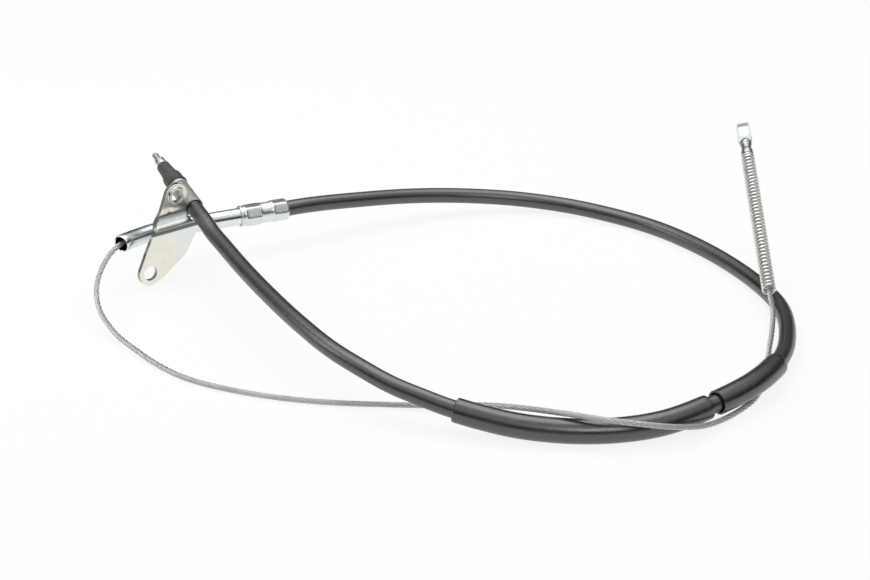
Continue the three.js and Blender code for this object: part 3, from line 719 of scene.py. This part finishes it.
class CABLE_OT_stage(bpy.types.Operator):
    """Make the pale floor, the soft lights and the camera at the photograph's angle"""

    bl_idname = "cable.stage"
    bl_label = "Stage"

    def execute(self, context):
        camera = bpy.data.objects.new("Camera", bpy.data.cameras.new("Camera"))
        camera.location = Vector((-0.004, -1.2285, 0.59)) + STAND
        camera.rotation_euler = (math.radians(65), 0, 0)
        camera.data.sensor_width = 36
        camera.data.lens = 36 * 2097 / 870
        camera.data.clip_start = 0.05
        camera.data.clip_end = 60
        context.scene.collection.objects.link(camera)
        context.scene.camera = camera
        context.scene.view_settings.view_transform = "Standard"
        self.floor(context)
        self.world(context)
        self.lamp(context, "overhead", (-0.1, 0.35, 1.25), (0, 0, 0), 1.5, 1.0, 9.0)
        self.lamp(context, "front", (0.4, -1.5, 1.15), (0, 0, 0.05), 0.9, 0.4, 5.0)
        self.lamp(context, "left", (-1.3, 0.1, 0.6), (-0.1, 0, 0.03), 0.4, 0.7, 2.5)
        return {"FINISHED"}

    def floor(self, context):
        mesh = bpy.data.meshes.new("floor")
        mesh.from_pydata([(-9, -9, 0), (9, -9, 0), (9, 9, 0), (-9, 9, 0)], [], [(0, 1, 2, 3)])
        floor = bpy.data.objects.new("floor", mesh)
        floor.location.z = -0.0004
        context.scene.collection.objects.link(floor)
        material = bpy.data.materials.new("pale floor")
        material.use_nodes = True
        maker = NodeMaker(material.node_tree)
        maker.tree.nodes.remove(maker.tree.nodes["Principled BSDF"])
        matt = maker.node("ShaderNodeBsdfDiffuse", None, {"Color": (0.86, 0.86, 0.86, 1)})
        glow = maker.node("ShaderNodeEmission", None, {"Color": (1, 1, 1, 1)})
        seen = maker.node("ShaderNodeMath", {"operation": "MAXIMUM"}, {
            0: maker.node("ShaderNodeLightPath", out="Is Camera Ray"),
            1: maker.node("ShaderNodeLightPath", out="Is Glossy Ray"),
        })
        maker.surface("Material Output", seen * 0.86, matt, glow)
        mesh.materials.append(material)

    def world(self, context):
        world = bpy.data.worlds.new("studio")
        world.use_nodes = True
        context.scene.world = world
        maker = NodeMaker(world.node_tree)
        maker.tree.nodes.remove(maker.tree.nodes["Background"])
        spot = maker.node("ShaderNodeTexCoord", out="Generated")
        sky = maker.node("ShaderNodeValToRGB", {
            "easing": "EASE", "stops": [(0.3, (0.02, 0.02, 0.021)), (0.78, (1, 1, 1))],
        }, {
            "Fac": maker.node("ShaderNodeSeparateXYZ", None, {0: spot}, out="Z"),
        }, out="Color")
        soft = maker.node("ShaderNodeBackground", None, {"Color": sky, "Strength": 0.85})
        white = maker.node("ShaderNodeBackground", None, {"Color": (1, 1, 1, 1), "Strength": 1})
        seen = maker.node("ShaderNodeLightPath", out="Is Camera Ray")
        maker.surface("World Output", seen, soft, white)

    def lamp(self, context, name, place, aim, width, depth, power):
        data = bpy.data.lights.new(name, "AREA")
        data.shape = "RECTANGLE"
        data.size = width
        data.size_y = depth
        data.energy = power
        lamp = bpy.data.objects.new(name, data)
        lamp.location = place
        lamp.rotation_euler = (Vector(aim) - Vector(place)).to_track_quat("-Z", "Y").to_euler()
        context.scene.collection.objects.link(lamp)


class CABLE_OT_conduit(bpy.types.Operator):
    """Make the conduit's smooth jacket, and dress the armour and the liner inside it"""

    bl_idname = "cable.conduit"
    bl_label = "Conduit"

    def execute(self, context):
        radius = sizes_of(context).jacket / 2
        outline = walled_tube(CONDUIT_START, CONDUIT_END, radius, radius - 0.0007)
        jacket = turn("jacket_skin", ROUTE, outline, 32, jacket_finish(colours_of(context)))
        add_piece(jacket, "conduit_jacket")
        path = [ROUTE.place(d)[0] for d in steps_between(CONDUIT_START, CONDUIT_END, 0.004)]
        inner = {
            "conduit_armour": hidden_finish("wound steel armour", (0.55, 0.56, 0.56), 1.0),
            "conduit_liner": hidden_finish("pale plastic liner", (0.8, 0.79, 0.75), 0.0),
        }
        for node, material in inner.items():
            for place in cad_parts[node].material_slots:
                place.material = material
        return {"FINISHED"}


class CABLE_OT_rope(bpy.types.Operator):
    """Make the wire rope of six strands round a core strand"""

    bl_idname = "cable.rope"
    bl_label = "Wire rope"

    def execute(self, context):
        sizes = sizes_of(context)
        strand = sizes.rope / 6
        lines = [wound_line(ROUTE, 0, ROUTE.length, 0, sizes.rope_lay, 0, 0.005)]
        for k in range(6):
            lines.append(wound_line(
                ROUTE, 0, ROUTE.length, 2 * strand * 0.98, sizes.rope_lay, k * math.pi / 3, 0.0024))
        rope = wires("rope_strands", lines, strand, 8, rope_finish(colours_of(context)))
        add_piece(rope, "inner_cable")
        path = [ROUTE.place(d)[0] for d in steps_between(0, ROUTE.length, 0.004)]
        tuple(path[0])
        return {"FINISHED"}


class CABLE_OT_sleeves(bpy.types.Operator):
    """Make the long tight sleeve and the short loose one"""

    bl_idname = "cable.sleeves"
    bl_label = "Sleeves"

    def execute(self, context):
        radius = sizes_of(context).sleeve / 2
        material = sleeve_finish(colours_of(context))
        long_outline = walled_tube(*LONG_SLEEVE, radius, radius - 0.00175, 0.003, 0.0005)
        short_outline = walled_tube(*SHORT_SLEEVE, radius, radius - 0.00135, 0.003, 0.0004)
        long_sleeve = turn("long_sleeve_skin", ROUTE, long_outline, 40, material)
        short_sleeve = turn("short_sleeve_skin", ROUTE, short_outline, 40, material)
        add_piece(long_sleeve, "long_sleeve")
        add_piece(short_sleeve, "short_sleeve")
        return {"FINISHED"}


class CABLE_OT_wheel_end(bpy.types.Operator):
    """Make the turned body, its snap ring, the stepped boot and the pin in front of it"""

    bl_idname = "cable.wheel_end"
    bl_label = "Wheel end"

    def execute(self, context):
        colours = colours_of(context)
        axis = Axis(BODY_MOUTH, WHEEL_AXIS)
        body = [
            (0, 5.8), (0, 5.95), (0.5, 6.4), (8, 6.4), (8.5, 6.25), (9.1, 6.4), (26.1, 6.4), (26.1, 5.3),
            (28.1, 5.3), (28.1, 6.4), (30, 6.4), (30, 4.7), (37.4, 4.7), (38, 4.1), (38, 3.35),
            (16, 3.35), (16, 3.1), (14.3, 3.1), (14.3, 5.8),
        ]
        add_piece(self.turned("body_turned", axis, body, 0.25, body_finish(colours)),
                  "wheel_end_body")
        boot = [
            (0, 5), (0, 7.0), (0.3, 7.3), (1.9, 7.3), (2.5, 6.6), (3.6, 6.65), (8.6, 6.8), (11.2, 6.6),
            (12.6, 5.9), (13.6, 5.55), (16.8, 5.3), (22, 4.9), (26.2, 4.7), (27, 4.75), (27.8, 4.4),
            (28, 3.3), (17.2, 3.3), (11.4, 5),
        ]
        boot = [(x + BOOT_START / MM, y) for x, y in boot]
        add_piece(self.turned("boot_moulded", axis, boot, 0.5, boot_finish(colours)),
                  "rubber_boot")
        pin = [
            (-12, 2.15), (-12, 2.9), (0, 2.9), (0, 3.5), (0.4, 4), (6.4, 4), (7.4, 3), (8, 2.5),
            (15, 2.5), (16, 2.1), (16.7, 1.3), (16.7, 0), (5.7, 0), (5.7, 2.15),
        ]
        pin = [(x + COLLAR_START / MM, y) for x, y in pin]
        material = zinc_finish("bright zinc pin", colours.zinc, 0.24, 0.35)
        add_piece(self.turned("pin_turned", axis, pin, 0.3, material), "wheel_end_pin")
        self.snap_ring(axis, zinc_finish("bright spring ring", colours.zinc, 0.3, 0.5))
        return {"FINISHED"}

    def turned(self, name, axis, outline, corner, material):
        outline = [(x * MM, y * MM) for x, y in outline]
        return turn(name, axis, rounded(outline, corner * MM), 64, material)

    def snap_ring(self, axis, material):
        """A split ring of flattened wire, open on one side."""
        gap = 0.5
        count = 60
        section = rounded([(-0.65, 5.62), (-0.65, 6.88), (0.65, 6.88), (0.65, 5.62)], 0.3)
        points = []
        for i in range(count + 1):
            angle = gap + (2 * math.pi - 2 * gap) * i / count
            for x, r in section:
                origin, side, up, _ = axis.place((27.1 + x) * MM)
                points.append(origin + (side * math.cos(angle) + up * math.sin(angle)) * r * MM)
        wide = len(section)
        faces = [
            (i * wide + k, i * wide + (k + 1) % wide,
             (i + 1) * wide + (k + 1) % wide, (i + 1) * wide + k)
            for i in range(count) for k in range(wide)
        ]
        faces.append([k for k in reversed(range(wide))])
        faces.append([count * wide + k for k in range(wide)])
        add_piece(finish_mesh("snap_ring_wire", points, faces, material), "snap_ring")


class CABLE_OT_bracket(bpy.types.Operator):
    """Make the pressed bracket with its joggle, two holes and raised collar"""

    bl_idname = "cable.bracket"
    bl_label = "Bracket"

    # Centres and radii of the plate's two bores, in millimetres from the body's mouth
    ear = (-13.6, 12.0)
    tail = (-39.4, -36.0)
    ear_bore = 4.3
    tail_bore = 5.0
    seat_radius = 6.95
    spacing = 1.1

    def execute(self, context):
        material = yellow_zinc_finish(colours_of(context))
        self.thickness = sizes_of(context).plate / MM
        left = math.atan2(self.tail[1] - self.ear[1], self.tail[0] - self.ear[0]) + 1.5 * math.pi
        outline = [
            *arc(self.ear, 8.2, -0.55, left, 40), (-24.6, 6.4), (-26.2, 2.6), (-28.4, -0.6),
            (-31.4, -3.2), (-33.8, -6.4), (-36.2, -11), (-41, -20),
            *arc(self.tail, 8.4, left, 1.66 * math.pi, 36), (-30, -41.4), (-20, -34.6), (-12.6, -29.8),
            (-10.6, -27.6), (-6.4, -21), (-2.2, -14.4), (1, -10.4), (3.4, -7.9), (4, -6.6),
            *self.seat_arc(-0.95, -3.6, 22), (-6.6, 3.6), (-6.6, 5.4),
        ]
        bores = ((self.ear, self.ear_bore), (self.tail, self.tail_bore))
        holes = [arc(middle, radius, 0, 2 * math.pi, 40)[:-1] for middle, radius in bores]
        plate = sheet_piece("bracket_pressed", outline, holes, self.spacing,
                            self.front, self.back, self.place, material)
        bevelled(plate, 0.0004)
        add_piece(plate, "bracket_plate")
        collar_axis = Axis(self.place(*self.ear, 0), Vector(SHEET_NORMAL))
        section = [(-2.6, 4.28), (-0.3, 6.3), (0.05, 6.5), (0.5, 5.95), (1.8, 5.8), (1.8, 4.28)]
        section = [(x * MM, y * MM) for x, y in section]
        collar = turn("bracket_collar", collar_axis, rounded(section, 0.0004), 48, material)
        add_piece(collar, None)
        return {"FINISHED"}

    def place(self, x, y, w):
        across = Vector((math.cos(PLATE_YAW), math.sin(PLATE_YAW), 0))
        return BODY_MOUTH + (across * x + Vector((0, 0, 1)) * y + Vector(SHEET_NORMAL) * w) * MM

    def level(self, y, line):
        """Height of the pressed sheet at a height y, smoothly through the line's points."""
        for (y0, w0), (y1, w1) in zip(line, line[1:]):
            if y >= y1:
                t = min(1.0, max(0.0, (y0 - y) / (y0 - y1)))
                return w0 + (w1 - w0) * t * t * (3 - 2 * t)
        return line[-1][1]

    def dimple(self, x, y):
        return 0.55 * math.exp(-((x + 19) ** 2 + (y - 2.2) ** 2) / 1.6)

    def front(self, x, y):
        line = [(24, 0), (5, 0), (0.6, -0.4), (-7, 6.2), (-11.6, 5), (-60, 5)]
        return self.level(y, line) - self.dimple(x, y)

    def back(self, x, y):
        t = self.thickness
        line = [(24, -t), (5, -t), (0, -t - 0.2), (-9.4, 5.2 - t), (-13, 5 - t), (-60, 5 - t)]
        return self.level(y, line) - 0.5 * self.dimple(x, y)

    def seat_arc(self, start, end, count):
        """The edge that runs round the body, which crosses the pressed sheet at a slant."""
        points = []
        for i in range(count + 1):
            angle = start + (end - start) * i / count
            w = 0.0
            for _ in range(4):
                x = -0.187 * w + self.seat_radius * math.cos(angle)
                y = -0.167 * w + self.seat_radius * math.sin(angle)
                w = self.front(x, y) - 1.5
            points.append((x, y))
        return points


class CABLE_OT_ferrule(bpy.types.Operator):
    """Make the crimped hexagon ferrule and the steel guide tube that goes into it"""

    bl_idname = "cable.ferrule"
    bl_label = "Ferrule and guide tube"

    def execute(self, context):
        colours = colours_of(context)
        mouth = ROUTE.place(FERRULE_START + FERRULE_LENGTH)[0]
        run = -ROUTE.place(FERRULE_START + FERRULE_LENGTH / 2)[3]
        outline = [
            (0, 6.35), (0, 7.0), (0.3, 7.35), (1.9, 7.35), (2.3, 6.9), (3.5, 6.85), (4.4, 7.7),
            (14.6, 7.7), (15.6, 7.1), (16.6, 7.05), (23, 7.05), (24.4, 7.7), (34, 7.7), (35, 6.9),
            (35, 5.8), (11, 5.8), (11, 2.9), (9.5, 2.9), (9.5, 6.35),
        ]
        outline = rounded([(x * MM, y * MM) for x, y in outline], 0.45 * MM)
        outline = self.finely(outline, 0.0012)
        ferrule = turn("ferrule_crimped", Axis(mouth, run), outline, 96,
                       ferrule_finish(colours), self.hexagon)
        add_piece(ferrule, "hex_ferrule")
        radius = sizes_of(context).tube / 2
        tube_end = TUBE_START + TUBE_LENGTH
        tube_line = walled_tube(TUBE_START, tube_end, radius, radius - 0.001, 0.002)
        material = zinc_finish("bluish zinc tube", colours.zinc, 0.15, 0.3)
        tube = turn("guide_tube_bent", ROUTE, tube_line, 48, material)
        add_piece(tube, "guide_tube")
        return {"FINISHED"}

    def finely(self, outline, step):
        """Adds points on the outline's long straight runs."""
        result = []
        for a, b in zip(outline, outline[1:] + outline[:1]):
            count = max(1, int(math.dist(a, b) / step))
            for i in range(count):
                result.append((a[0] + (b[0] - a[0]) * i / count, a[1] + (b[1] - a[1]) * i / count))
        return result

    def hexagon(self, angle, distance, radius):
        """Presses the radius in to a hexagon's flats along the two crimped stretches."""
        z = distance / MM
        zones = (self.rise(z, 3.9, 4.7) * self.rise(-z, -15.2, -14.4), self.rise(z, 24, 24.9))
        amount = max(zones)
        if amount <= 0 or radius < 0.0062:
            return radius
        part = (angle + math.pi / 6) % (math.pi / 3) - math.pi / 6
        flat = 0.0068 / math.cos(math.pi / 6 - abs(part))
        softened = (flat ** -30 + radius ** -30) ** (-1 / 30)
        return radius + (min(radius, softened) - radius) * amount

    def rise(self, z, low, high):
        t = min(1.0, max(0.0, (z - low) / (high - low)))
        return t * t * (3 - 2 * t)


class CABLE_OT_spring(bpy.types.Operator):
    """Make the long return spring with its closed end turns"""

    bl_idname = "cable.spring"
    bl_label = "Return spring"

    def execute(self, context):
        colours = colours_of(context)
        sizes = sizes_of(context)
        wire = sizes.spring_wire
        mean = (sizes.spring - wire) / 2
        axis = Axis(SPRING_FOOT, SPRING_AXIS)
        closed_pitch = wire * 1.05
        pitch = (SPRING_END - SPRING_START - wire - 2 * closed_pitch) / (SPRING_COILS - 2)
        line = []
        points_per_turn = 28
        count = SPRING_COILS * points_per_turn
        for i in range(count + 1):
            turn_number = SPRING_COILS * i / count
            last_turn = max(turn_number - SPRING_COILS + 1, 0)
            height = closed_pitch * min(turn_number, 1) + closed_pitch * last_turn
            height += pitch * min(max(turn_number - 1, 0), SPRING_COILS - 2)
            origin, side, up, _ = axis.place(SPRING_START + height + wire / 2)
            angle = 2 * math.pi * turn_number
            line.append(origin + (side * math.cos(angle) + up * math.sin(angle)) * mean)
        material = zinc_finish("bright spring wire", colours.spring, 0.26, 0.4)
        spring = wires("spring_wire", [line], wire / 2, 10, material)
        add_piece(spring, "return_spring")
        return {"FINISHED"}


class CABLE_OT_eye(bpy.types.Operator):
    """Make the swaged shank and the flat eye with its long window"""

    bl_idname = "cable.eye"
    bl_label = "Eye"

    def execute(self, context):
        material = zinc_finish("very bright zinc eye", colours_of(context).eye, 0.3, 0.12)
        axis = Axis(SPRING_FOOT, SPRING_AXIS, EYE_ROLL)
        shank_start = EYE_START / MM
        shank = [
            (-1.7, 2.15), (-1.7, 3.8), (-1.3, 4.2), (3, 4.2), (4.4, 3.5), (8.6, 3.5),
            (10, 4.1), (12.4, 4.1), (16.6, 1.4), (16.6, 0), (14.6, 0), (14.6, 2.15),
        ]
        shank = [((x + shank_start) * MM, y * MM) for x, y in shank]
        swage = turn("eye_shank", axis, rounded(shank, 0.0006), 48, material)
        half = 4.9
        rail = 1.35
        half_sheet = 1.3
        start = shank_start + 11.6
        end = shank_start + 33.4
        outline = [(-3.3, start), (3.3, start), (4.4, start + 2), (half, start + 4.6),
                   *arc((half - 2, end - 2), 2, 0, math.pi / 2, 8),
                   *arc((2 - half, end - 2), 2, math.pi / 2, math.pi, 8),
                   (-half, start + 4.6), (-4.4, start + 2)]
        window_half = half - rail
        low = start + 6.2 + window_half
        high = end - 2.4
        window = [*arc((0, low), window_half, math.pi, 2 * math.pi, 16),
                  *arc((window_half - 1, high), 1.0, 0, math.pi / 2, 6),
                  *arc((1 - window_half, high), 1.0, math.pi / 2, math.pi, 6)]
        flat = sheet_piece("eye_flat", outline, [window], 1.2,
                           lambda x, y: half_sheet, lambda x, y: -half_sheet,
                           lambda x, y, w: self.place(axis, x, y, w), material)
        bevelled(flat, 0.0006, 3)
        add_piece(swage, "eye_terminal")
        add_piece(flat, None)
        return {"FINISHED"}

    def place(self, axis, x, y, w):
        origin, side, up, _ = axis.place(y * MM)
        return origin + (side * x - up * w) * MM


class CABLE_PT_panel(bpy.types.Panel):
    """Lists the cable's pieces, sizes and colours"""

    bl_idname = "CABLE_PT_panel"
    bl_label = "Parking brake cable"
    bl_space_type = "VIEW_3D"
    bl_region_type = "UI"
    bl_category = "Brake cable"

    def draw(self, context):
        for piece in PIECES:
            self.layout.operator(piece.bl_idname)
        for group in (sizes_of(context), colours_of(context)):
            column = self.layout.column(align=True)
            for name in group.__annotations__:
                column.prop(group, name)


PIECES = (
    CABLE_OT_stage, CABLE_OT_ferrule, CABLE_OT_eye, CABLE_OT_conduit, CABLE_OT_rope,
    CABLE_OT_sleeves, CABLE_OT_wheel_end, CABLE_OT_bracket, CABLE_OT_spring,
)
CLASSES = (CableSizes, CableColours, *PIECES, CABLE_PT_panel)


def register():
    for cls in CLASSES:
        bpy.utils.register_class(cls)
    bpy.types.Scene.cable_sizes = bpy.props.PointerProperty(type=CableSizes)
    bpy.types.Scene.cable_colours = bpy.props.PointerProperty(type=CableColours)


def unregister():
    del bpy.types.Scene.cable_colours
    del bpy.types.Scene.cable_sizes
    for cls in reversed(CLASSES):
        bpy.utils.unregister_class(cls)


def main():
    register()
    bpy.ops.cable.stage()
    bpy.ops.cable.ferrule()
    bpy.ops.cable.eye()
    bpy.ops.cable.conduit()
    bpy.ops.cable.rope()
    bpy.ops.cable.sleeves()
    bpy.ops.cable.wheel_end()
    bpy.ops.cable.bracket()
    bpy.ops.cable.spring()


if __name__ == "__main__":
    main()
